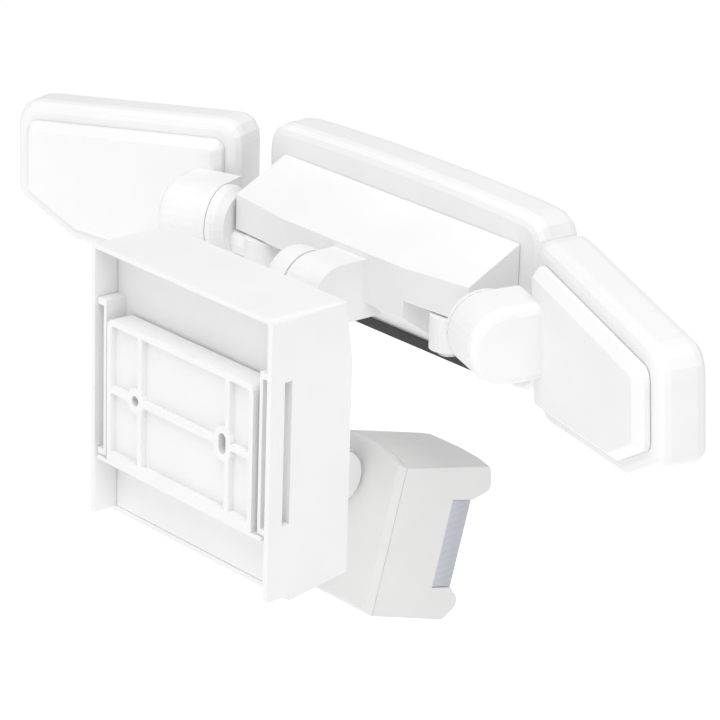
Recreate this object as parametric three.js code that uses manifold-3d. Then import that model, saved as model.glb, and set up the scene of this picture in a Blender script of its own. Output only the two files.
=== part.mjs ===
// A white security floodlight: a battery box on a slide-in wall bracket carries a wide centre lamp,
// two side lamps on elbows and a motion sensor pod below them.
//
// Frame: millimetres, +Z up, the wall is the plane y = 0 and the lamps face -Y.
// The origin is the centre of the wall bracket's rear face. "left" is -X and "right" is +X.

import * as THREE from 'three';
import { mergeVertices } from 'three/addons/utils/BufferGeometryUtils.js';
import Module from 'manifold-3d';

const wasm = await Module();
wasm.setup();

// ---------------------------------------------------------------- driving dimensions (mm)

const GAP = 0.3;                 // clearance between pieces that touch
const ROUND = 28;                // facets round a large circle
const ROUND_SMALL = 12;          // facets round a screw or a boss

const BOX = {
  width: 130, top: 67, bottom: -69, depth: 46.5, depthTop: 42, kink: 39, bottomRise: 6.8,
  frontTaper: 1.2, corner: 3.5, wall: 2.5, bossEnd: -21, recess: 12.8, flange: 2.8, flangeFoot: 4.3,
};
const RAIL = { x: 55.5, thick: 2, bottom: -35, top: 38, ledge: 3, proud: 1.5 };
const SIDE_SLOT = { rear: 7.8, front: 12, bottom: -30, top: 37 };
const BRACKET = {
  width: 106, bottom: -34, top: 34, depth: 11.5, rim: 3, web: 3, webThick: 2.5,
  foot: 7, footHeight: 3, footThick: 1.6, holeX: 31.75, holeRadius: 2.5, slotHalf: 2.4, boss: 6,
  ribLeft: -35, ribRight: 28.5,
};
const CELL = { radius: 12.9, length: 50, pitch: 26.8, y: -29.9, z: -26 };
const TRAY = { halfWidth: 50, thick: 1.2, lip: 1.6 };
const BOSS = { x: 56, z: [-56, 57], radius: 4, hole: 1.7 };

const NECK = {
  y: -80, z: 46, radius: 17, discFrom: 7, discTo: 20.5, edge: 3, armFrom: -16, armLow: 12, footHalf: 19,
};

const LAMP_C = {
  halfWidth: 97, bottom: 12, top: 95, crown: 2.8, rear: -127, front: -151, corner: 15, edge: 5.5, wall: 3,
};
const HUMP = {
  halfWidth: 82, rear: -94, endRear: -97, wall: 2.5, ridgeY: -126.6, ridgeZ: 81.5,
  shoulderZ: 65.5, underZ: 42, rootZ: 19, crown: 2,
};
const NOTCH = { inner: 42, top: 50, front: -122 };

const SWIVEL = { x: 66, y: -101, z: 51, radius: 9, low: -17.5, high: -1.8, boss: 9 };
const SIDE_YAW = THREE.MathUtils.degToRad(20.2);
const LEFT_TILT = THREE.MathUtils.degToRad(4);

// side lamp, in its own frame: x runs outwards from the swivel, y to the wall, z from the tilt axis
const LAMP_S = {
  inner: 31, outer: 161, innerTop: 42.6, outerTop: 31.8, innerBottom: -45.5, outerBottom: -17.5,
  chamferX: 126.5, chamferZ: -36.5, rear: -28.4, front: -51.2, edge: 5.5, wall: 2.8,
};
const PANEL = { face: -21.6, bevel: 4, margin: 12.5, topMargin: 1, wall: 2.2 };
const ARM = { from: 26.3, to: 53.3, axisY: -6.2, radius: 17.7, edge: 4, wall: 2.6 };
const DISC = { from: 18, rim: 23.3, to: 25.9, faceRadius: 13.5 };
const STUB = { radius: 6, z: -8 };

const SENSOR = {
  y: -91, z: -47, pitch: THREE.MathUtils.degToRad(15), radius: 13, armFrom: 3, armTo: 12, discFrom: -6,
  back: -14.4, top: 12.1, crown: 7, rearEdge: 3, rearHalf: 30, frontHalf: 26, wall: 2.5,
  panY: -60, panRadius: 9,
};

// ---------------------------------------------------------------- surfaces

const WHITE = { color: 0xf2f2f0, roughness: 0.42, metalness: 0 };
const GREY_WHITE = { color: 0xe4e4e2, roughness: 0.5, metalness: 0 };
const RUBBER = { color: 0x3a3a3c, roughness: 0.85, metalness: 0 };
const STEEL = { color: 0xb9bcc0, roughness: 0.35, metalness: 1 };
const BRASS = { color: 0xc9a45a, roughness: 0.35, metalness: 1 };
const BOARD = { color: 0x2f6b46, roughness: 0.6, metalness: 0 };
const WHITE_BOARD = { color: 0xf5f5f0, roughness: 0.5, metalness: 0 };
const CELL_SKIN = { color: 0x37475c, roughness: 0.4, metalness: 0.2 };
const CLEAR = { color: 0xe8eef2, roughness: 0.25, metalness: 0 };
const FRESNEL = { color: 0xbfc1cd, roughness: 0.35, metalness: 0 };

// ---------------------------------------------------------------- solids

function toSolid(geometry) {
  const bare = geometry.clone();
  bare.deleteAttribute('normal');
  bare.deleteAttribute('uv');
  const welded = mergeVertices(bare, 1e-4);
  const vertProperties = new Float32Array(welded.attributes.position.array);
  const triVerts = new Uint32Array(welded.index.array);
  return new wasm.Manifold(new wasm.Mesh({ numProp: 3, vertProperties, triVerts }));
}

function toGeometry(solid) {
  const mesh = solid.getMesh();
  const geometry = new THREE.BufferGeometry();
  geometry.setAttribute('position', new THREE.BufferAttribute(new Float32Array(mesh.vertProperties), 3));
  geometry.setIndex(new THREE.BufferAttribute(new Uint32Array(mesh.triVerts), 1));
  geometry.computeVertexNormals();
  return geometry;
}

const join = (first, ...rest) => rest.reduce((sum, solid) => sum.add(solid), first);
const cut = (first, ...rest) => rest.reduce((left, solid) => left.subtract(solid), first);

// a box between two corners
function block(x0, x1, y0, y1, z0, z1) {
  const geometry = new THREE.BoxGeometry(x1 - x0, y1 - y0, z1 - z0);
  geometry.translate((x0 + x1) / 2, (y0 + y1) / 2, (z0 + z1) / 2);
  return toSolid(geometry);
}

// a cylinder from one end to the other along an axis, through the point given by the other two coordinates
function rod(axis, radius, from, to, u, v, facets = ROUND_SMALL) {
  const geometry = new THREE.CylinderGeometry(radius, radius, to - from, facets);
  geometry.translate(0, (from + to) / 2, 0);
  if (axis === 'x') geometry.rotateZ(-Math.PI / 2).translate(0, u, v);
  if (axis === 'y') geometry.translate(u, 0, v);
  if (axis === 'z') geometry.rotateX(Math.PI / 2).translate(u, v, 0);
  return toSolid(geometry);
}

// a profile of [radius, x] points turned about the X axis through (y, z)
function turned(profile, y, z) {
  const lathe = new THREE.LatheGeometry(profile.map(([r, x]) => new THREE.Vector2(r, x)), ROUND);
  return toSolid(lathe.rotateZ(-Math.PI / 2).translate(0, y, z));
}

// the profile of a rod whose far rim is rounded over `edge`
function roundedRod(radius, from, to, edge) {
  const rim = [0, 30, 60, 90].map(THREE.MathUtils.degToRad).map((angle) => [
    radius - edge + edge * Math.cos(angle), to - edge + edge * Math.sin(angle)]);
  return [[0, from], [radius, from], ...rim, [0, to]];
}

// a closed outline through corners [u, v, radius], each corner rounded
function outline(corners) {
  const shape = new THREE.Shape();
  const points = corners.map(([u, v]) => new THREE.Vector2(u, v));
  corners.forEach(([, , radius = 0], i) => {
    const here = points[i];
    const before = points[(i + points.length - 1) % points.length].clone().sub(here);
    const after = points[(i + 1) % points.length].clone().sub(here);
    const half = before.angleTo(after) / 2;
    const reach = radius / Math.tan(half);
    const start = here.clone().add(before.setLength(reach));
    const end = here.clone().add(after.setLength(reach));
    if (i === 0) shape.moveTo(start.x, start.y);
    else shape.lineTo(start.x, start.y);
    if (radius > 0) shape.quadraticCurveTo(here.x, here.y, end.x, end.y);
  });
  shape.closePath();
  return shape;
}

// the corners of a convex anticlockwise outline moved inwards by a distance
function inset(corners, distance) {
  const edges = corners.map(([u, v], i) => {
    const [nextU, nextV] = corners[(i + 1) % corners.length];
    const length = Math.hypot(nextU - u, nextV - v);
    const along = [(nextU - u) / length, (nextV - v) / length];
    return { along, through: [u - along[1] * distance, v + along[0] * distance] };
  });
  return corners.map(([, , radius = 0], i) => {
    const a = edges[(i + edges.length - 1) % edges.length];
    const b = edges[i];
    const cross = a.along[0] * b.along[1] - a.along[1] * b.along[0];
    const du = b.through[0] - a.through[0];
    const dv = b.through[1] - a.through[1];
    const t = (du * b.along[1] - dv * b.along[0]) / cross;
    const rounding = radius > 0 ? Math.max(radius - distance, 0.8) : 0;
    return [a.through[0] + a.along[0] * t, a.through[1] + a.along[1] * t, rounding];
  });
}

// extrudes an outline; `edge` rounds both rims over that distance without growing the outline
function extruded(corners, depth, edge = 0, facets = 3) {
  const options = { depth: depth - 2 * edge, bevelEnabled: edge > 0, curveSegments: 4 };
  if (edge > 0) Object.assign(options, { bevelSize: edge, bevelThickness: edge, bevelSegments: facets });
  const geometry = new THREE.ExtrudeGeometry(outline(edge > 0 ? inset(corners, edge) : corners), options);
  return geometry.translate(0, 0, edge);
}

// an outline in (y, z) swept along X
function prismX(corners, x0, x1, edge) {
  const toX = new THREE.Matrix4().makeBasis(
    new THREE.Vector3(0, 1, 0), new THREE.Vector3(0, 0, 1), new THREE.Vector3(1, 0, 0));
  return toSolid(extruded(corners, x1 - x0, edge).applyMatrix4(toX).translate(x0, 0, 0));
}

// an outline in (x, z) swept forwards, from yRear to yFront
function prismY(corners, yRear, yFront, edge, facets) {
  const toFront = new THREE.Matrix4().makeBasis(
    new THREE.Vector3(1, 0, 0), new THREE.Vector3(0, 0, 1), new THREE.Vector3(0, -1, 0));
  const swept = extruded(corners, yRear - yFront, edge, facets).applyMatrix4(toFront);
  return toSolid(swept.translate(0, yRear, 0));
}

// an outline in (x, y) swept up
function prismZ(corners, z0, z1) {
  return toSolid(extruded(corners, z1 - z0).translate(0, 0, z0));
}

function mirrored(geometry) {
  const copy = geometry.clone().scale(-1, 1, 1);
  const index = copy.index.array;
  for (let i = 0; i < index.length; i += 3) [index[i + 1], index[i + 2]] = [index[i + 2], index[i + 1]];
  copy.computeVertexNormals();
  return copy;
}

const rectangle = (x0, x1, z0, z1, radius = 0) => [
  [x0, z0, radius], [x1, z0, radius], [x1, z1, radius], [x0, z1, radius]];

function part(name, solid, surface) {
  const geometry = solid.isBufferGeometry ? solid : toGeometry(solid);
  const mesh = new THREE.Mesh(geometry, new THREE.MeshStandardMaterial(surface));
  mesh.name = name;
  return mesh;
}

// ---------------------------------------------------------------- fasteners

// a pan-head screw along an axis: the head fills `head` mm beyond `seat`, the shank runs to `tip`
function screw(axis, shank, headRadius, head, seat, tip, u, v) {
  const outwards = Math.sign(seat - tip);
  const headEnds = [seat, seat + outwards * head].sort((a, b) => a - b);
  const shankEnds = [tip, seat + outwards * head / 2].sort((a, b) => a - b);
  return join(
    rod(axis, headRadius, ...headEnds, u, v),
    rod(axis, shank, ...shankEnds, u, v));
}

function sleeve(axis, outer, bore, from, to, u, v) {
  return cut(rod(axis, outer, from, to, u, v), rod(axis, bore, from - 1, to + 1, u, v));
}

// ---------------------------------------------------------------- wall box

// the box's outer form, or the same form with every wall moved in
function boxForm(shrink = 0) {
  const half = BOX.width / 2 - shrink;
  const top = BOX.top - shrink;
  const bottom = BOX.bottom + shrink;
  const front = -BOX.depth + shrink;
  const side = [[0, bottom], [0, top], [-BOX.depthTop + shrink, top], [front, BOX.kink],
    [front, bottom + BOX.bottomRise]];
  const frontHalf = half - BOX.frontTaper;
  const plan = [[-half, 0], [-frontHalf, -BOX.depth], [frontHalf, -BOX.depth], [half, 0]];
  const corner = Math.max(BOX.corner - shrink, 1);
  return prismX(side.reverse(), -half, half)
    .intersect(prismY(rectangle(-half, half, bottom, top, corner), 0, -BOX.depth))
    .intersect(prismZ(plan, bottom, top));
}

const slab = (yRear, yFront) => block(-100, 100, yFront, yRear, -100, 100);

function bossPlaces() {
  return BOSS.z.flatMap((z) => [[-BOSS.x, z], [BOSS.x, z]]);
}

const inside = BOX.width / 2 - BOX.flange;
const sideSpan = (side, a, b) => [side * a, side * b].sort((p, q) => p - q);

// the outer walls and front in one piece, open behind and below for the wall bracket
function boxHousing() {
  let shell = cut(
    boxForm(),
    block(-inside, inside, -BOX.recess, 1, BOX.bottom - 1, BOX.top - BOX.wall),
    block(-BOX.width, BOX.width, -BOX.recess, 1, BOX.bottom - 1, BOX.bottom + BOX.flangeFoot),
    boxForm(BOX.wall).intersect(slab(-BOX.recess + 0.1, -BOX.depth)));
  for (const side of [-1, 1]) {
    shell = cut(shell, block(...sideSpan(side, inside - 1, BOX.width), -SIDE_SLOT.front, -SIDE_SLOT.rear,
      SIDE_SLOT.bottom, SIDE_SLOT.top));
  }
  const inner = -BOX.depth + 4;
  shell = join(shell,
    prismY(rectangle(-NECK.footHalf, NECK.footHalf, NECK.z - 15, NECK.z + 15, 4), inner, -BOX.depth - 1.2),
    prismY(rectangle(-14, 14, SENSOR.z - 14, SENSOR.z + 14, 4), -BOX.depth + 3.3, -BOX.depth - 0.6));
  for (const [x, z] of bossPlaces()) {
    shell = join(shell, rod('y', BOSS.radius, inner, BOX.bossEnd - GAP, x, z));
  }
  for (const [x, z] of bossPlaces()) {
    shell = cut(shell,
      rod('y', BOSS.hole + GAP, -BOX.depth - 1, BOX.bossEnd + 3, x, z),
      rod('y', 3.2, -BOX.depth - 1, -BOX.depth + 4.5, x, z));
  }
  return cut(shell,
    rod('y', 3.5, -BOX.depth - 3, inner + 1, 13.5, NECK.z),
    rod('y', 2.5, -BOX.depth - 3, inner + 1, 0, SENSOR.z - 10));
}

// the plate that closes the housing, with the two rails that slide over the bracket's feet
function boxRearPlate() {
  const root = -BOX.recess - 0.5;
  let plate = boxForm(BOX.wall + GAP).intersect(slab(-BOX.recess, -BOX.recess - BOX.wall));
  for (const side of [-1, 1]) {
    const rail = sideSpan(side, RAIL.x, RAIL.x + RAIL.thick);
    const ledge = sideSpan(side, RAIL.x, inside - GAP);
    plate = join(plate,
      block(...rail, root, -RAIL.proud, RAIL.bottom, RAIL.top + RAIL.ledge),
      block(...ledge, root, -RAIL.proud, RAIL.top, RAIL.top + RAIL.ledge),
      block(...ledge, root, -RAIL.proud, RAIL.bottom, RAIL.bottom + RAIL.ledge));
  }
  for (const [x, z] of bossPlaces()) {
    plate = join(plate, rod('y', BOSS.radius, BOX.bossEnd, root, x, z));
    plate = cut(plate, rod('y', BOSS.hole, BOX.bossEnd - 1, -BOX.recess - 1.5, x, z));
  }
  return plate;
}

function boxScrew(x, z) {
  return screw('y', BOSS.hole - 0.2, 2.9, 2.4, -BOX.depth + 4.2, BOX.bossEnd + 4.5, x, z);
}

function boxGasket() {
  const rear = -BOX.recess - BOX.wall - GAP;
  const band = (shrink) => boxForm(shrink).intersect(slab(rear, rear - 1.5));
  return cut(band(BOX.wall + GAP), band(BOX.wall + 1.5));
}

// ---------------------------------------------------------------- wall bracket

function wallBracket() {
  const half = BRACKET.width / 2;
  const { bottom, top, rim, web, depth } = BRACKET;
  const frame = [[-half, bottom, 0.5], [half, bottom, 0.5], [half, top, 5], [-half, top, 5]];
  let plate = cut(
    prismY(frame, 0, -depth),
    prismY(inset(frame, rim), 1, -web),
    prismY(inset(frame, rim), -web - BRACKET.webThick, -depth - 1));
  const rib = (x0, x1, z0, z1) => block(x0, x1, -depth, 0, z0, z1);
  const ribHalf = 1.5;
  plate = join(plate,
    rib(-half + 1, half - 1, -ribHalf, ribHalf),
    rib(BRACKET.ribRight - ribHalf, BRACKET.ribRight + ribHalf, bottom + 1, top - 1),
    rib(BRACKET.ribLeft - ribHalf, BRACKET.ribLeft + ribHalf, bottom + 1, top - 1),
    rod('y', BRACKET.boss, -depth, 0, BRACKET.holeX, 0, ROUND),
    rod('y', BRACKET.boss, -depth, 0, -BRACKET.holeX, 2, ROUND),
    rod('y', BRACKET.boss, -depth, 0, -BRACKET.holeX, -2, ROUND));
  for (const side of [-1, 1]) {
    const [x0, x1] = [side * (half - 1), side * (half + BRACKET.foot)].sort((p, q) => p - q);
    const footTop = bottom - BRACKET.footHeight + BRACKET.footThick;
    plate = join(plate, block(x0, x1, -depth, 0, bottom - BRACKET.footHeight, footTop));
  }
  plate = join(plate, block(-half, half, -depth, 0, bottom - BRACKET.footHeight, bottom + 1));
  const through = (x, z) => rod('y', BRACKET.holeRadius, -depth - 1, 1, x, z);
  return cut(plate, through(BRACKET.holeX, 0),
    through(-BRACKET.holeX, BRACKET.slotHalf), through(-BRACKET.holeX, -BRACKET.slotHalf),
    block(-BRACKET.holeX - BRACKET.holeRadius, -BRACKET.holeX + BRACKET.holeRadius, -depth - 1, 1,
      -BRACKET.slotHalf, BRACKET.slotHalf));
}

// ---------------------------------------------------------------- inside the box

const cellX = (i) => (i - 1.5) * CELL.pitch;

function cell(i) {
  const half = CELL.length / 2;
  return join(
    rod('z', CELL.radius, CELL.z - half, CELL.z + half - 2, cellX(i), CELL.y, ROUND),
    rod('z', 3.2, CELL.z + half - 3, CELL.z + half, cellX(i), CELL.y));
}

function cellTray() {
  const endZ = CELL.length / 2 + 2;
  const halfX = TRAY.halfWidth;
  const rear = -BOX.recess - BOX.wall - GAP;
  return join(
    block(-halfX, halfX, rear - TRAY.thick, rear, CELL.z - endZ, CELL.z + endZ),
    block(-halfX, halfX, CELL.y - 8, rear, CELL.z + endZ - 1, CELL.z + endZ - 1 + TRAY.lip),
    block(-halfX, halfX, CELL.y - 8, rear, CELL.z - endZ + 1 - TRAY.lip, CELL.z - endZ + 1));
}

function contactStrip(side) {
  const z = CELL.z + side * (CELL.length / 2 + 0.6);
  const halfX = TRAY.halfWidth - 1;
  return block(-halfX, halfX, CELL.y - 6, CELL.y + 6, z - 0.25, z + 0.25);
}

function controlBoard() {
  const rear = -BOX.recess - BOX.wall - 2.5;
  const face = rear - 1.6;
  const board = block(-45, 45, face, rear, 8, 42);
  const corners = [[-40, 12], [40, 12], [-40, 38], [40, 38]];
  const posts = corners.map(([x, z]) => rod('y', 1.6, rear - 0.5, rear + 2.2, x, z));
  return join(board, ...posts,
    block(-38, -22, face - 9, face + 0.4, 18, 34),
    rod('y', 5, face - 11, face + 0.4, -8, 26),
    rod('y', 5, face - 11, face + 0.4, 6, 26),
    block(18, 34, face - 4, face + 0.4, 14, 24),
    block(18, 36, face - 7, face + 0.4, 29, 37));
}

// ---------------------------------------------------------------- neck

function neckBase() {
  const plateRear = -BOX.depth - 1.2 - GAP;
  const plateFront = plateRear - 3;
  const stem = [[plateFront + 0.5, NECK.z - 13], [plateFront + 0.5, NECK.z + 11],
    [NECK.y, NECK.z - 1], [NECK.y, NECK.z - NECK.radius]];
  const base = join(
    prismY(rectangle(-NECK.footHalf, NECK.footHalf, NECK.z - 15, NECK.z + 15, 4), plateRear, plateFront),
    prismX(stem.reverse(), NECK.discFrom, NECK.discTo - NECK.edge),
    turned(roundedRod(NECK.radius, NECK.discFrom, NECK.discTo, NECK.edge), NECK.y, NECK.z));
  return cut(base,
    rod('x', 4, NECK.discFrom - 1, NECK.discTo - 4, NECK.y, NECK.z),
    block(NECK.discTo - 9, NECK.discTo - 3, NECK.y + 6, 0, NECK.z - 6, NECK.z + 6));
}

// ---------------------------------------------------------------- centre lamp

// the lamp's front view: its top edge is slightly crowned
function crowned(halfWidth, bottom, top, crown, radius) {
  const lift = (x) => top + crown * (1 - (x / halfWidth) ** 2);
  const steps = [0.7, 0.35, 0, -0.35, -0.7].map((s) => [s * halfWidth, lift(s * halfWidth), 0]);
  return [[-halfWidth, bottom, radius], [halfWidth, bottom, radius], [halfWidth, top, radius],
    ...steps, [-halfWidth, top, radius]];
}

const centreOutline = (shrink = 0) => crowned(LAMP_C.halfWidth - shrink, LAMP_C.bottom + shrink,
  LAMP_C.top - shrink, LAMP_C.crown, Math.max(LAMP_C.corner - shrink, 1));

function lampFrame(outer, rear, front, edge, wall, opening) {
  const pocket = inset(outer, wall);
  const ledge = inset(outer, wall + 2.5);
  return cut(
    prismY(outer, rear, front, edge),
    prismY(pocket, front + 4, front - 1),
    prismY(ledge, rear - wall, front),
    opening);
}

// the hump behind the centre lamp, or the same form with every wall moved in
function humpForm(shrink = 0) {
  const half = HUMP.halfWidth - shrink;
  const slope = (HUMP.ridgeZ - HUMP.shoulderZ) / (HUMP.rear - HUMP.ridgeY);
  const reach = 12;
  const root = LAMP_C.rear + GAP;
  const rear = HUMP.rear - shrink;
  const endRear = HUMP.endRear - shrink;
  const plan = [[-half, root - 20], [half, root - 20], [half, endRear], [NOTCH.inner, rear],
    [-NOTCH.inner, rear], [-half, endRear]];
  const side = [[root, HUMP.rootZ + shrink], [rear, HUMP.underZ + shrink * 0.6],
    [rear, HUMP.shoulderZ - shrink * 0.8],
    [HUMP.ridgeY - reach, HUMP.ridgeZ + reach * slope - shrink * 1.3],
    [root - 12, HUMP.ridgeZ + reach * slope - shrink * 1.3], [root - 12, HUMP.rootZ + shrink]];
  return prismX(side, -half, half)
    .intersect(prismY(crowned(half, HUMP.rootZ - 2, HUMP.ridgeZ - shrink, HUMP.crown, 1.2), 0, root))
    .intersect(prismZ(plan, -20, 120));
}

function neckArm(shrink = 0) {
  const radius = NECK.radius - 0.5 - shrink;
  const from = NECK.armFrom + shrink;
  const to = NECK.discFrom - 0.5 - shrink;
  const low = NECK.z - NECK.armLow + shrink;
  return join(
    rod('x', radius, from, to, NECK.y, NECK.z, ROUND),
    block(from, to, HUMP.rear - 10, NECK.y, NECK.z - radius, NECK.z + radius))
    .intersect(block(from, to, -200, 0, low, 200));
}

function notch(side, wall = 0) {
  const [x0, x1] = [side * (NOTCH.inner - wall), side * (HUMP.halfWidth + 2)].sort((p, q) => p - q);
  return block(x0, x1, NOTCH.front - wall, HUMP.rear + 2, -20, NOTCH.top + wall);
}

function centreRearCover() {
  const outside = cut(humpForm(), notch(-1), notch(1));
  const inside = cut(humpForm(HUMP.wall), notch(-1, HUMP.wall), notch(1, HUMP.wall));
  const discSpace = (radius, margin) => rod('x', radius, NECK.discFrom - 0.5 - margin,
    NECK.discTo + 0.8 + margin, NECK.y, NECK.z, ROUND);
  let cover = cut(join(outside, neckArm()), inside.intersect(slab(0, LAMP_C.rear - 1)), neckArm(2.5));
  cover = join(cover, discSpace(NECK.radius + 3, 2).intersect(outside));
  for (const side of [-1, 1]) {
    const boss = rod('z', 5, NOTCH.top, NOTCH.top + SWIVEL.boss, side * SWIVEL.x, SWIVEL.y);
    cover = join(cover, boss.intersect(outside));
    cover = cut(cover, rod('z', 2.7, NOTCH.top - 1, NOTCH.top + SWIVEL.boss - 2, side * SWIVEL.x, SWIVEL.y));
  }
  const boltHole = rod('x', 2.8, NECK.discFrom - 5, NECK.discFrom + 1, NECK.y, NECK.z);
  return cut(cover, discSpace(NECK.radius + 0.8, 0), boltHole);
}

function centreFrame() {
  const hump = HUMP.halfWidth - 6;
  return lampFrame(centreOutline(), LAMP_C.rear, LAMP_C.front, LAMP_C.edge, LAMP_C.wall,
    block(-hump, hump, LAMP_C.rear - 10, LAMP_C.rear + 1, HUMP.rootZ + 6, HUMP.ridgeZ - 6));
}

// ---------------------------------------------------------------- what every lamp holds

// each takes a lamp: the outline of its frame, and the frame's rear, front and wall
function lampLens({ form, front, wall }) {
  return prismY(inset(form, wall + GAP), front + 3.6, front + 1);
}

function lampSeal({ form, front, wall }) {
  const band = (shrink) => prismY(inset(form, shrink), front + 5.4, front + 3.9);
  return cut(band(wall + 2.5 + GAP), band(wall + 4.2));
}

function lampReflector({ form, rear, front, wall }) {
  const rim = inset(form, wall + 4.6);
  const floor = rear - 12;
  return cut(
    prismY(rim, floor, front + 4.2),
    prismY(inset(rim, 1.2), floor - 1.2, front + 3),
    prismY(inset(rim, 7), floor + 1, floor - 3));
}

// a board with a grid of light-emitting chips on its front, centred on (midX, midZ)
function ledBoard({ form, rear, wall }, columns, rows, midX, midZ) {
  const pitch = 16;
  const face = rear - 10.6;
  let board = prismY(inset(form, wall + 5.5), face + 1.6, face);
  for (const column of Array(columns).keys()) {
    for (const row of Array(rows).keys()) {
      const x = midX + (column - (columns - 1) / 2) * pitch;
      const z = midZ + (row - (rows - 1) / 2) * pitch;
      board = join(board, block(x - 1.4, x + 1.4, face - 0.7, face + 0.3, z - 1.4, z + 1.4));
    }
  }
  return board;
}

// ---------------------------------------------------------------- side lamp (drawn for the +X side)

const sideOutline = () => [
  [LAMP_S.inner, LAMP_S.innerBottom, 12], [LAMP_S.chamferX, LAMP_S.chamferZ, 10],
  [LAMP_S.outer, LAMP_S.outerBottom, 8], [LAMP_S.outer, LAMP_S.outerTop, 14],
  [LAMP_S.inner, LAMP_S.innerTop, 12]];

// the raised panel keeps a wider shoulder along the top edge
function panelOutline() {
  return inset(sideOutline(), PANEL.margin).map(([x, z], i) => [x, i > 2 ? z - PANEL.topMargin : z, 2]);
}

function sideArm(shrink = 0) {
  const radius = ARM.radius - shrink;
  const from = ARM.from + shrink;
  const to = ARM.to - shrink;
  const front = PANEL.face - 1 + shrink;
  const root = rectangle(front - ARM.edge, ARM.axisY, -radius, radius);
  return join(
    turned(roundedRod(radius, from, to, ARM.edge), ARM.axisY, 0),
    prismX(root, from - ARM.edge, to, ARM.edge).intersect(block(from, to, front, 0, -radius, radius)));
}

function panelForm(shrink) {
  const foot = inset(panelOutline(), shrink - PANEL.bevel);
  const rear = PANEL.face - shrink;
  const front = LAMP_S.rear + GAP;
  const raised = prismY(foot, rear, rear - 30, PANEL.bevel, 1);
  return raised.intersect(block(0, 200, front - (shrink > 0 ? 1 : 0), 0, -100, 100));
}

function sideRearCover() {
  const wireWay = block(LAMP_S.inner + PANEL.margin + 3, ARM.to - 4, PANEL.face - 3, ARM.axisY, -9, 9);
  return cut(join(panelForm(0), sideArm()), panelForm(PANEL.wall), sideArm(ARM.wall), wireWay,
    rod('x', 2.8, ARM.from - 1, ARM.from + ARM.wall + 1, ARM.axisY, 0));
}

function sideFrame() {
  return lampFrame(sideOutline(), LAMP_S.rear, LAMP_S.front, LAMP_S.edge, LAMP_S.wall,
    prismY(inset(panelOutline(), 2), LAMP_S.rear + 1, LAMP_S.rear - 6));
}

// a disc with a domed inner face, carried by a short stub on the upright swivel barrel
function elbow() {
  const { from, rim, to, faceRadius } = DISC;
  const { radius } = ARM;
  const disc = [
    [0, from], [faceRadius, from], [radius - 0.8, rim - 1.6], [radius, rim], [radius, to], [0, to]];
  const stubLength = Math.hypot(from + 2, ARM.axisY);
  const stub = new THREE.CylinderGeometry(STUB.radius, STUB.radius, stubLength, ROUND_SMALL);
  stub.translate(0, stubLength / 2, 0).rotateZ(Math.atan2(ARM.axisY, from + 2) - Math.PI / 2);
  stub.translate(0, 0, STUB.z);
  return cut(
    join(
      turned(disc, ARM.axisY, 0),
      toSolid(stub),
      rod('z', SWIVEL.radius, SWIVEL.low, SWIVEL.high, 0, 0, ROUND)),
    rod('x', 4.2, from + 3, to + 1, ARM.axisY, 0),
    rod('z', 2.9, SWIVEL.low - 1, SWIVEL.high + 1, 0, 0));
}

const tiltBolt = () => screw('x', 2.4, 5, 3, ARM.from + ARM.wall + GAP, DISC.from + 4, ARM.axisY, 0);
const tiltInsert = () => sleeve('x', 3.9, 2.7, DISC.from + 3.3, DISC.to - GAP, ARM.axisY, 0);
const swivelTip = NOTCH.top - SWIVEL.z + SWIVEL.boss - 2.5;
const swivelScrew = () => screw('z', 2.4, 4.6, 2.6, SWIVEL.low - GAP, swivelTip, 0, 0);

// ---------------------------------------------------------------- sensor

// side view of the pod in (y, z) from the tilt axis: visor above the window, lip below it
function podProfile() {
  const { back, top, crown } = SENSOR;
  const rear = [[back, top - 71.5, 3], [back, top + crown, 3]];
  const visor = [[back - 60, top + crown, 16], [back - 65.4, top - 9.8, 4.5]];
  const aroundWindow = [[back - 53.5, top - 14.8, 0.5], [back - 53.2, top - 58.5, 0.5]];
  const lip = [[back - 62, top - 66, 5], [back - 52.8, top - 74.7, 4]];
  return [...rear, ...visor, ...aroundWindow, ...lip].reverse();
}

function podPlan(shrink, yBack, yFront) {
  const rear = SENSOR.rearHalf - shrink;
  const front = SENSOR.frontHalf - shrink;
  const edge = SENSOR.rearEdge;
  return prismZ([[edge - rear, yBack], [-rear, yBack - edge], [-front, yFront], [front, yFront],
    [rear, yBack - edge], [rear - edge, yBack]], -90, 40);
}

function podForm() {
  return prismX(podProfile(), -40, 40)
    .intersect(podPlan(0, SENSOR.back, SENSOR.back - 66))
    .intersect(prismY(crowned(SENSOR.rearHalf + 1, -90, SENSOR.top, SENSOR.crown, 0), 0, -90));
}

const windowRear = SENSOR.back - 40;
const windowFront = SENSOR.back - 53;
const windowTop = SENSOR.top - 14.8;
const windowBottom = SENSOR.top - 58.5;

function sensorHousing() {
  const { back, top, wall } = SENSOR;
  const cavity = [[back + 1, top - 71.5 + wall], [back + 1, top - wall], [windowFront + 1, top - wall],
    [windowFront + 1, top - 70 + wall]];
  const hollow = prismX(cavity.reverse(), -40, 40).intersect(podPlan(wall, back + 1, back - 66));
  return cut(
    podForm().intersect(slab(back - 3 - GAP, back - 70)),
    hollow,
    block(-40, 40, windowFront - 3, windowRear, windowBottom, windowTop),
    rod('z', 5, -80, top - 60, -14, -38), rod('z', 5, -80, top - 60, 14, -38),
    block(-5, 5, -53, -49, -80, top - 60));
}

function sensorWindow() {
  const skin = (shrink) => podPlan(shrink, SENSOR.back, SENSOR.back - 66);
  const zone = (front) => block(-40, 40, front, windowRear - GAP, windowBottom + GAP, windowTop - GAP);
  return cut(zone(windowFront).intersect(skin(0.4)), zone(windowFront + 1.6).intersect(skin(2.2)),
    block(-22, 22, windowFront + 1.6, windowRear + 1, windowBottom + GAP - 1, windowTop - GAP + 1));
}

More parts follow.
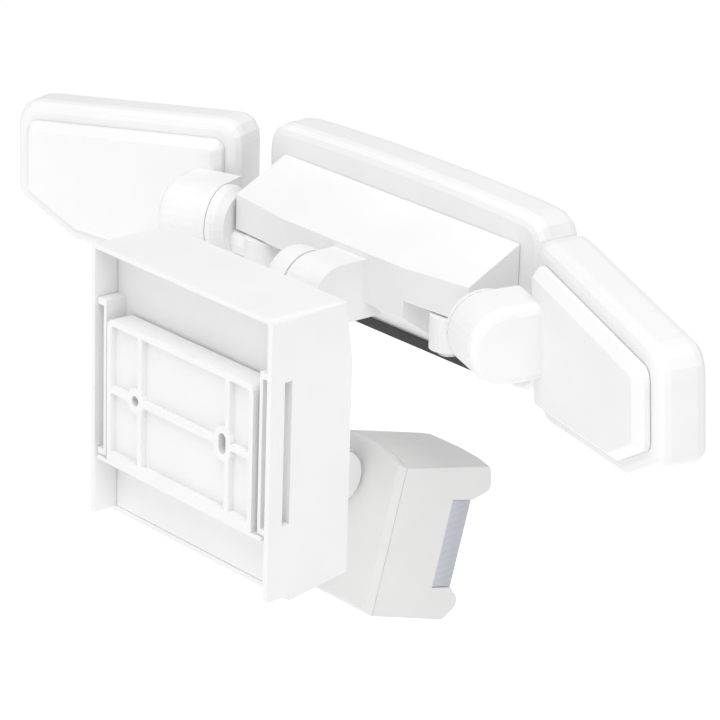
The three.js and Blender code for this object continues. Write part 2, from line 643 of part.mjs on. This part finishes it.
function sensorArm(shrink = 0) {
  const radius = SENSOR.radius - shrink;
  return join(
    rod('x', radius, SENSOR.armFrom + shrink, SENSOR.armTo - shrink, 0, 0, ROUND),
    block(SENSOR.armFrom + shrink, SENSOR.armTo - shrink, SENSOR.back - 1 - shrink, 0, -radius, radius - 2));
}

function sensorBackCover() {
  const { back } = SENSOR;
  return cut(
    join(podForm().intersect(slab(back + 1, back - 3)), sensorArm()),
    sensorArm(2.4),
    rod('x', 2.8, SENSOR.armFrom - 1, SENSOR.armFrom + 4, 0, 0));
}

function sensorLink() {
  const { discFrom, armFrom, radius, y, panY, panRadius } = SENSOR;
  const to = armFrom - 0.4;
  const stemY = panY - y;
  return cut(
    join(
      rod('x', radius, discFrom, to, 0, 0, ROUND),
      block(discFrom, to, 0, stemY - 6, -8, 8),
      block(discFrom, 6, radius + 3, stemY, -8, 8),
      rod('z', panRadius, -8.5, 8.5, 0, stemY, ROUND)),
    rod('x', 3.6, discFrom + 3, to + 1, 0, 0),
    rod('z', 2.4, -10, 10, 0, stemY));
}

function sensorBase() {
  const { z, panY, panRadius } = SENSOR;
  const rear = -BOX.depth - 0.6 - GAP;
  const lug = (z0, z1) => join(
    rod('z', panRadius, z0, z1, 0, panY, ROUND),
    block(-panRadius, panRadius, panY, rear - 1, z0, z1));
  return cut(
    join(
      prismY(rectangle(-14, 14, z - 14, z + 14, 4), rear, rear - 3),
      lug(z + 8.8, z + 12.6),
      lug(z - 12.6, z - 8.8)),
    rod('z', 2.4, z - 20, z + 20, 0, panY));
}

const panPin = () => rod('z', 2.1, SENSOR.z - 12.6, SENSOR.z + 12.6, 0, SENSOR.panY);
const sensorBolt = () => screw('x', 2.4, 4.6, 2, SENSOR.armFrom + 2.4 + GAP, SENSOR.discFrom + 3.4, 0, 0);

const sensorBoard = () => block(-22, 22, windowRear + 9, windowRear + 10.6, windowBottom, windowTop + 6);

function pyroSensor() {
  const z = (windowTop + windowBottom) / 2;
  return join(
    rod('y', 4.6, windowRear + 4.5, windowRear + 8.7, 0, z, ROUND),
    rod('y', 5.2, windowRear + 7.9, windowRear + 8.7, 0, z, ROUND));
}

function dial(x) {
  const under = SENSOR.top - 74.5;
  return cut(
    join(rod('z', 4.6, under - 0.8, under + 9.4, x, -38), rod('z', 6.4, under + 8.4, under + 9.4, x, -38)),
    block(x - 0.6, x + 0.6, -42, -34, under - 2, under + 0.2));
}

function modeSlider() {
  const under = SENSOR.top - 74.5;
  return join(
    block(-2, 2, -52.5, -49.5, under - 1.5, under + 8),
    block(-9, 9, -55, -47, under + 7.6, under + 8.8));
}

// ---------------------------------------------------------------- assembly

const lamp = new THREE.Group();

lamp.add(
  part('wall_bracket', wallBracket(), WHITE),
  part('box_housing', boxHousing(), WHITE),
  part('box_rear_plate', boxRearPlate(), WHITE),
  part('box_gasket', boxGasket(), RUBBER),
  part('cell_tray', cellTray(), GREY_WHITE),
  part('contact_strip_top', contactStrip(1), BRASS),
  part('contact_strip_bottom', contactStrip(-1), BRASS),
  part('control_board', controlBoard(), BOARD),
  part('neck_base', neckBase(), WHITE));

for (const i of Array(4).keys()) lamp.add(part(`cell_${i + 1}`, cell(i), CELL_SKIN));
bossPlaces().forEach(([x, z], i) => lamp.add(part(`box_screw_${i + 1}`, boxScrew(x, z), STEEL)));

const neckMid = (NECK.discFrom + NECK.discTo) / 2;
lamp.add(
  part('neck_bolt', screw('x', 2.4, 5, 3, NECK.discFrom - 3 - GAP, neckMid, NECK.y, NECK.z), STEEL),
  part('neck_insert', sleeve('x', 3.7, 2.7, NECK.discFrom + GAP, NECK.discTo - 4.6, NECK.y, NECK.z), BRASS));

const centre = { form: centreOutline(), ...LAMP_C };
lamp.add(
  part('centre_rear_cover', centreRearCover(), WHITE),
  part('centre_frame', centreFrame(), WHITE),
  part('centre_lens', lampLens(centre), CLEAR),
  part('centre_seal', lampSeal(centre), RUBBER),
  part('centre_reflector', lampReflector(centre), GREY_WHITE),
  part('centre_led_board', ledBoard(centre, 8, 3, 0, 51), WHITE_BOARD));

function addSideLamp(name, side, tilt) {
  const head = { form: sideOutline(), ...LAMP_S };
  const turning = new THREE.Group();
  turning.position.set(side * SWIVEL.x, SWIVEL.y, SWIVEL.z);
  turning.rotation.z = side * SIDE_YAW;
  const tilting = new THREE.Group();
  tilting.position.set(0, ARM.axisY, 0);
  tilting.rotation.x = -tilt;
  turning.add(tilting);
  const add = (group, piece, solid, surface) => {
    const geometry = toGeometry(solid);
    if (group === tilting) geometry.translate(0, -ARM.axisY, 0);
    group.add(part(`${name}_${piece}`, side > 0 ? geometry : mirrored(geometry), surface));
  };
  add(turning, 'elbow', elbow(), WHITE);
  add(tilting, 'tilt_bolt', tiltBolt(), STEEL);
  add(turning, 'tilt_insert', tiltInsert(), BRASS);
  add(turning, 'swivel_screw', swivelScrew(), STEEL);
  add(tilting, 'rear_cover', sideRearCover(), WHITE);
  add(tilting, 'frame', sideFrame(), WHITE);
  add(tilting, 'lens', lampLens(head), CLEAR);
  add(tilting, 'seal', lampSeal(head), RUBBER);
  add(tilting, 'reflector', lampReflector(head), GREY_WHITE);
  add(tilting, 'led_board', ledBoard(head, 6, 2, 88, 4), WHITE_BOARD);
  lamp.add(turning);
}

addSideLamp('right', 1, 0);
addSideLamp('left', -1, LEFT_TILT);

const panGroup = new THREE.Group();
panGroup.position.set(0, SENSOR.y, SENSOR.z);
panGroup.add(part('sensor_link', sensorLink(), WHITE), part('sensor_tilt_bolt', sensorBolt(), STEEL));

const pod = new THREE.Group();
pod.position.copy(panGroup.position);
pod.rotation.x = SENSOR.pitch;
pod.add(
  part('sensor_back_cover', sensorBackCover(), WHITE),
  part('sensor_housing', sensorHousing(), WHITE),
  part('sensor_window', sensorWindow(), FRESNEL),
  part('sensor_board', sensorBoard(), BOARD),
  part('pyro_sensor', pyroSensor(), STEEL),
  part('time_dial', dial(-14), GREY_WHITE),
  part('range_dial', dial(14), GREY_WHITE),
  part('mode_slider', modeSlider(), GREY_WHITE));

lamp.add(
  part('sensor_base', sensorBase(), WHITE),
  part('sensor_pan_pin', panPin(), STEEL),
  panGroup,
  pod);

export default lamp;
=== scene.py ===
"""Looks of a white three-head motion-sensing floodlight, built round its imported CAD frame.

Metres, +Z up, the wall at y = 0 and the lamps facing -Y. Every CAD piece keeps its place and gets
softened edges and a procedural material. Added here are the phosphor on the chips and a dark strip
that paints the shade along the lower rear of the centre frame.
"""

import math
from itertools import product

import bpy
from mathutils import Matrix, Vector


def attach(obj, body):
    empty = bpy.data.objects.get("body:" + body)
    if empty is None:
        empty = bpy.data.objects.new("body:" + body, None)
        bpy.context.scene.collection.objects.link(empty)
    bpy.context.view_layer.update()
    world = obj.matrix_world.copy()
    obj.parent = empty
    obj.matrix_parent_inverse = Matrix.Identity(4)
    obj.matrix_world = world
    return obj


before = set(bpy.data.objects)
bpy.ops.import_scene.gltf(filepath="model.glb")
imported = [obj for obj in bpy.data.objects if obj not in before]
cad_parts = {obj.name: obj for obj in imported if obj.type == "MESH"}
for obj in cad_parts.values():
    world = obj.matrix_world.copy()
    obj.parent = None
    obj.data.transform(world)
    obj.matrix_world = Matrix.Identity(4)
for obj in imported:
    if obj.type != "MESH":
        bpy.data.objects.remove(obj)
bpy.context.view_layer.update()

MM = 0.001


# ------------------------------------------------------------------ measures in mm and degrees

# the joints of the side lamps, as in the CAD
SWIVEL_X = 66.0
SWIVEL_Y = -101.0
SWIVEL_Z = 51.0
TILT_AXIS_Y = -6.2
SIDE_YAW = 20.2
LEFT_TILT = 4.0

# softened edges
FLAT_ANGLE = 1.0
SHARP_ANGLE = 32.0
EDGE_SEGMENTS = 3

# the phosphor squares; a grid's x, y and z are its middle in the frame of its lamp
CHIP_PITCH = 16.0
CHIP_SIZE = (2.5, 0.3, 2.5)
CHIP_EDGE = 0.1
CENTRE_GRID = {"columns": 8, "rows": 3, "x": 0.0, "y": -138.5, "z": 51.0}
SIDE_GRID = {"columns": 6, "rows": 2, "x": 88.0, "y": -39.9, "z": 4.0}

# painted shade: a dark grey strip along the lower rear of the centre frame, where that face lies in
# shadow
STRIP_MIDDLE = (0.0, -126.3, 15.8)
STRIP_SIZE = (150.0, 1.2, 5.0)
STRIP_EDGE = 0.4

# the camera; its place is in metres
CAMERA_PLACE = (-1.1656, 0.9042, 0.5812)
CAMERA_AZIMUTH = 229.08
CAMERA_ELEVATION = 20.44
CAMERA_ROLL = 1.78
CAMERA_SENSOR = 36.0
CAMERA_LENS = 177.8


# ------------------------------------------------------------------ materials

class Look:
    """A Principled material and short ways to feed it from procedural textures."""

    BANDS_PER_METRE = 3.2  # what a wave texture draws at scale 1

    def __init__(self, name, roughness, metallic=0.0):
        self.material = bpy.data.materials.new(name)
        self.material.use_nodes = True
        self.nodes = self.material.node_tree.nodes
        self.links = self.material.node_tree.links
        self.shader = self.nodes["Principled BSDF"]
        self.shader.inputs["Roughness"].default_value = roughness
        self.shader.inputs["Metallic"].default_value = metallic
        self.coords = self.nodes.new("ShaderNodeTexCoord")
        self.normal = None

    def noise(self, size_mm, detail=2.0):
        texture = self.nodes.new("ShaderNodeTexNoise")
        texture.inputs["Scale"].default_value = 1.0 / (size_mm * MM)
        texture.inputs["Detail"].default_value = detail
        self.links.new(self.coords.outputs["Object"], texture.inputs["Vector"])
        return texture.outputs["Fac"]

    def bands(self, axis, size_mm):
        texture = self.nodes.new("ShaderNodeTexWave")
        texture.bands_direction = axis
        texture.inputs["Scale"].default_value = 1.0 / (size_mm * MM) / self.BANDS_PER_METRE
        self.links.new(self.coords.outputs["Object"], texture.inputs["Vector"])
        return texture.outputs["Fac"]

    def colour(self, fac, dark, light, low=0.35, high=0.65):
        """Dark where the texture is under low, light where it is over high, and blended between."""
        ramp = self.nodes.new("ShaderNodeValToRGB")
        ramp.color_ramp.elements[0].position = low
        ramp.color_ramp.elements[0].color = (*dark, 1.0)
        ramp.color_ramp.elements[1].position = high
        ramp.color_ramp.elements[1].color = (*light, 1.0)
        self.links.new(fac, ramp.inputs["Fac"])
        self.links.new(ramp.outputs["Color"], self.shader.inputs["Base Color"])

    def rough(self, fac, low, high):
        span = self.nodes.new("ShaderNodeMapRange")
        span.inputs["To Min"].default_value = low
        span.inputs["To Max"].default_value = high
        self.links.new(fac, span.inputs["Value"])
        self.links.new(span.outputs["Result"], self.shader.inputs["Roughness"])

    def bump(self, fac, height_mm, strength=1.0):
        """Adds a bump on top of those already there."""
        node = self.nodes.new("ShaderNodeBump")
        node.inputs["Distance"].default_value = height_mm * MM
        node.inputs["Strength"].default_value = strength
        self.links.new(fac, node.inputs["Height"])
        if self.normal:
            self.links.new(self.normal, node.inputs["Normal"])
        self.normal = node.outputs["Normal"]
        self.links.new(self.normal, self.shader.inputs["Normal"])


def moulded_plastic(name, tone, grain_mm, depth_mm, roughness):
    """Pale thermoplastic: a spark-eroded grain, faint waviness and a slight variation of tone."""
    look = Look(name, roughness)
    shade = tuple(channel * 0.975 for channel in tone)
    look.colour(look.noise(size_mm=35.0, detail=3.0), dark=shade, light=tone)
    grain = look.noise(size_mm=grain_mm, detail=3.0)
    look.rough(grain, low=roughness - 0.06, high=roughness + 0.08)
    look.bump(look.noise(size_mm=18.0, detail=1.0), height_mm=0.05, strength=0.5)
    look.bump(grain, height_mm=depth_mm, strength=0.6)
    return look.material


def rubber(name, tone):
    look = Look(name, roughness=0.85)
    grain = look.noise(size_mm=0.8, detail=4.0)
    look.colour(grain, dark=(tone * 0.6,) * 3, light=(tone,) * 3)
    look.bump(grain, height_mm=0.04)
    return look.material


def plated_steel():
    look = Look("plated_steel", roughness=0.32, metallic=1.0)
    wear = look.noise(size_mm=2.5, detail=5.0)
    look.colour(wear, dark=(0.52, 0.54, 0.57), light=(0.72, 0.73, 0.75))
    look.rough(wear, low=0.24, high=0.44)
    look.bump(look.noise(size_mm=0.3), height_mm=0.01)
    return look.material


def brass():
    look = Look("brass", roughness=0.3, metallic=1.0)
    wear = look.noise(size_mm=2.0, detail=4.0)
    look.colour(wear, dark=(0.62, 0.44, 0.17), light=(0.82, 0.63, 0.30))
    look.rough(wear, low=0.22, high=0.42)
    return look.material


def circuit_board(name, dark, light):
    """Solder mask over copper tracks, which show as slightly raised bands."""
    look = Look(name, roughness=0.38)
    look.colour(look.bands("DIAGONAL", size_mm=2.4), dark, light, low=0.45, high=0.55)
    look.bump(look.bands("X", size_mm=1.8), height_mm=0.03, strength=0.4)
    return look.material


def cell_sleeve():
    look = Look("cell_sleeve", roughness=0.3)
    look.colour(look.noise(size_mm=25.0), dark=(0.03, 0.05, 0.09), light=(0.05, 0.08, 0.13))
    look.bump(look.noise(size_mm=4.0), height_mm=0.03, strength=0.4)
    return look.material


def lamp_lens():
    """Clear lens with fine upright ribs that soften the chips behind it."""
    look = Look("clear_lens", roughness=0.12)
    look.shader.inputs["Alpha"].default_value = 0.22
    haze = look.noise(size_mm=6.0)
    look.colour(haze, dark=(0.86, 0.89, 0.92), light=(0.93, 0.95, 0.97))
    look.rough(haze, low=0.06, high=0.14)
    look.bump(look.bands("X", size_mm=2.4), height_mm=0.12, strength=0.5)
    return look.material


def sensor_lens():
    """Milky polyethylene window, moulded into upright and level Fresnel facets."""
    look = Look("sensor_lens", roughness=0.3)
    look.shader.inputs["Transmission Weight"].default_value = 0.12
    columns = look.bands("X", size_mm=5.2)
    look.colour(columns, dark=(0.55, 0.56, 0.62), light=(0.69, 0.70, 0.76), low=0.1, high=0.6)
    look.bump(columns, height_mm=0.3, strength=0.6)
    look.bump(look.bands("Z", size_mm=3.4), height_mm=0.2, strength=0.5)
    return look.material


def phosphor():
    look = Look("phosphor", roughness=0.55)
    grain = look.noise(size_mm=0.5, detail=3.0)
    look.colour(grain, dark=(0.80, 0.55, 0.06), light=(0.90, 0.68, 0.12))
    look.bump(grain, height_mm=0.03)
    return look.material


WHITE = moulded_plastic(
    "white_plastic", tone=(0.85, 0.85, 0.85), grain_mm=0.9, depth_mm=0.012, roughness=0.40
)
SENSOR_WHITE = moulded_plastic(
    "sensor_white", tone=(0.80, 0.80, 0.795), grain_mm=0.6, depth_mm=0.02, roughness=0.48
)
GREY_WHITE = moulded_plastic(
    "grey_white_plastic", tone=(0.72, 0.72, 0.71), grain_mm=0.7, depth_mm=0.015, roughness=0.45
)
REFLECTOR = moulded_plastic(
    "reflector_white", tone=(0.90, 0.90, 0.90), grain_mm=3.0, depth_mm=0.01, roughness=0.22
)
RUBBER = rubber("black_rubber", tone=0.035)
# painted shade: the rubber look in dark grey, for the strip that stands in for the shadow under the
# rear of the centre frame
PAINTED_SHADE_GREY = rubber("painted_shade_grey", tone=0.085)
STEEL = plated_steel()
BRASS = brass()
BOARD = circuit_board("circuit_board", dark=(0.02, 0.12, 0.05), light=(0.04, 0.2, 0.08))
WHITE_BOARD = circuit_board("white_board", dark=(0.74, 0.74, 0.70), light=(0.80, 0.80, 0.76))
SLEEVE = cell_sleeve()
LENS = lamp_lens()
SENSOR_LENS = sensor_lens()
PHOSPHOR = phosphor()

# the first row with a word of a node's name gives the node's material
MATERIAL_OF_WORDS = [
    (("sensor_housing", "sensor_back_cover"), SENSOR_WHITE),
    (("seal", "gasket"), RUBBER),
    (("insert", "contact_strip"), BRASS),
    (("screw", "bolt", "pin", "pyro"), STEEL),
    (("led_board",), WHITE_BOARD),
    (("board",), BOARD),
    (("reflector",), REFLECTOR),
    (("cell_tray", "dial", "slider"), GREY_WHITE),
    (("cell_",), SLEEVE),
    (("_lens",), LENS),
    (("window",), SENSOR_LENS),
]


def has_word(node, words):
    return any(word in node for word in words)


def material_for(node):
    for words, material in MATERIAL_OF_WORDS:
        if has_word(node, words):
            return material
    return WHITE


# ------------------------------------------------------------------ softened edges

def edge_width(node):
    """How wide in mm the rounded edges of a CAD node are: wide on mouldings, narrow on small parts."""
    if node == "centre_rear_cover":
        return 1.4
    if node in ("box_housing", "sensor_back_cover", "sensor_housing"):
        return 1.0
    if node in ("wall_bracket", "sensor_link", "sensor_base"):
        return 0.5
    if has_word(node, ("board", "strip", "seal", "gasket", "insert", "lens", "dial", "slider")):
        return 0.15
    if has_word(node, ("screw", "bolt", "pin", "reflector", "window")):
        return 0.3
    return 0.7


def soften(piece, width_mm):
    """Merges the flat triangles of a CAD piece, rounds its edges and smooths its curved faces."""
    piece.data.polygons.foreach_set("use_smooth", [True] * len(piece.data.polygons))
    flat = piece.modifiers.new("flat_faces", "DECIMATE")
    flat.decimate_type = "DISSOLVE"
    flat.angle_limit = math.radians(FLAT_ANGLE)
    edges = piece.modifiers.new("soft_edges", "BEVEL")
    edges.limit_method = "ANGLE"
    edges.angle_limit = math.radians(SHARP_ANGLE)
    edges.width = width_mm * MM
    edges.segments = EDGE_SEGMENTS
    edges.harden_normals = True
    edges.use_clamp_overlap = True


for name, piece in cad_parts.items():
    piece.data.materials.clear()
    piece.data.materials.append(material_for(name))
    soften(piece, edge_width(name))


# ------------------------------------------------------------------ added pieces

# a box's faces, each turning outward; its corners are numbered with x slowest and z fastest
BOX_FACES = [(0, 1, 3, 2), (4, 6, 7, 5), (0, 4, 5, 1), (2, 3, 7, 6), (0, 2, 6, 4), (1, 5, 7, 3)]


def boxes_piece(name, body, place, boxes, material, edge_mm):
    """One piece made of boxes given as (middle, size) in mm, set in a frame and riding on a body."""
    vertices = []
    faces = []
    for middle, size in boxes:
        first = len(vertices)
        for sides in product((-0.5, 0.5), repeat=3):
            corner = [at + side * width for at, side, width in zip(middle, sides, size)]
            vertices.append(place @ (Vector(corner) * MM))
        faces.extend([first + corner for corner in face] for face in BOX_FACES)
    mesh = bpy.data.meshes.new(name)
    mesh.from_pydata(vertices, [], faces)
    mirrored = place.determinant() < 0
    if mirrored:
        mesh.flip_normals()
    mesh.update()
    mesh.materials.append(material)
    piece = bpy.data.objects.new(name, mesh)
    bpy.context.collection.objects.link(piece)
    edges = piece.modifiers.new("soft_edges", "BEVEL")
    edges.width = edge_mm * MM
    edges.segments = 2
    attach(piece, body)


def shift(x, y, z):
    return Matrix.Translation(Vector((x, y, z)) * MM)


def turn(degrees, axis):
    return Matrix.Rotation(math.radians(degrees), 4, axis)


def side_lamp_matrix(side):
    """The frame of a side lamp: side is 1 for the +X lamp and -1 for the mirrored one."""
    tilt = LEFT_TILT if side < 0 else 0.0
    swivelled = shift(side * SWIVEL_X, SWIVEL_Y, SWIVEL_Z) @ turn(side * SIDE_YAW, "Z")
    tilted = shift(0, TILT_AXIS_Y, 0) @ turn(-tilt, "X") @ shift(0, -TILT_AXIS_Y, 0)
    return swivelled @ tilted @ Matrix.Diagonal((side, 1, 1, 1))


def chips(name, body, place, columns, rows, x, y, z):
    """The yellow phosphor squares on the fronts of a lamp's chips."""
    boxes = []
    for column, row in product(range(columns), range(rows)):
        across = x + (column - (columns - 1) / 2) * CHIP_PITCH
        up = z + (row - (rows - 1) / 2) * CHIP_PITCH
        boxes.append(((across, y, up), CHIP_SIZE))
    boxes_piece(name, body, place, boxes, PHOSPHOR, CHIP_EDGE)


chips("centre_chips", "centre_lamp", Matrix.Identity(4), **CENTRE_GRID)
chips("right_chips", "right_lamp", side_lamp_matrix(1), **SIDE_GRID)
chips("left_chips", "left_lamp", side_lamp_matrix(-1), **SIDE_GRID)
# painted shade: a dark strip laid on the lower rear of the centre frame, where the frame is in shadow
strip = [(STRIP_MIDDLE, STRIP_SIZE)]
boxes_piece("centre_painted_shade_strip", "centre_lamp", Matrix.Identity(4), strip, PAINTED_SHADE_GREY, STRIP_EDGE)


# ------------------------------------------------------------------ floor, light and camera

def floor(size, height, glow):
    """A pale floor well below the lamp, whose glow also lightens the undersides."""
    look = Look("pale_floor", roughness=0.7)
    look.colour(look.noise(size_mm=400.0), dark=(0.93, 0.93, 0.93), light=(0.95, 0.95, 0.95))
    look.shader.inputs["Emission Color"].default_value = (1.0, 1.0, 1.0, 1.0)
    look.shader.inputs["Emission Strength"].default_value = glow
    bpy.ops.mesh.primitive_plane_add(size=size, location=(0.0, 0.0, height))
    plane = bpy.context.object
    plane.name = "studio_floor"
    plane.data.materials.append(look.material)


def daylight(strength):
    """Even white light from everywhere."""
    world = bpy.data.worlds.new("white_room")
    world.use_nodes = True
    background = world.node_tree.nodes["Background"]
    background.inputs["Color"].default_value = (1.0, 1.0, 1.0, 1.0)
    background.inputs["Strength"].default_value = strength
    bpy.context.scene.world = world


def area_light(name, place, aim, size, power):
    light = bpy.data.lights.new(name, "AREA")
    light.shape = "SQUARE"
    light.size = size
    light.energy = power
    holder = bpy.data.objects.new(name, light)
    bpy.context.collection.objects.link(holder)
    holder.location = place
    beam = Vector(aim) - Vector(place)
    holder.rotation_euler = beam.to_track_quat("-Z", "Y").to_euler()


def camera():
    """A long lens behind and above the lamp, on the side of its -X end."""
    azimuth = math.radians(CAMERA_AZIMUTH)
    elevation = math.radians(CAMERA_ELEVATION)
    roll = math.radians(CAMERA_ROLL)
    level = math.cos(elevation)
    back = Vector((math.sin(azimuth) * level, -math.cos(azimuth) * level, math.sin(elevation)))
    right = (-back).cross(Vector((0.0, 0.0, 1.0))).normalized()
    up = right.cross(-back)
    rolled_right = right * math.cos(roll) + up * math.sin(roll)
    rolled_up = up * math.cos(roll) - right * math.sin(roll)
    lens = bpy.data.cameras.new("photo_camera")
    lens.sensor_width = CAMERA_SENSOR
    lens.lens = CAMERA_LENS
    holder = bpy.data.objects.new("photo_camera", lens)
    bpy.context.collection.objects.link(holder)
    turned = Matrix((rolled_right, rolled_up, back)).transposed().to_4x4()
    holder.matrix_world = Matrix.Translation(CAMERA_PLACE) @ turned
    bpy.context.scene.camera = holder


floor(size=30.0, height=-0.55, glow=0.42)
daylight(strength=0.58)
area_light("key", place=(-0.5, 0.5, 1.5), aim=(0.0, -0.05, 0.0), size=1.6, power=20.0)
area_light("rear_fill", place=(0.2, 1.8, 0.5), aim=(0.0, 0.0, 0.0), size=1.4, power=2.5)
camera()
bpy.context.scene.view_settings.view_transform = "Standard"
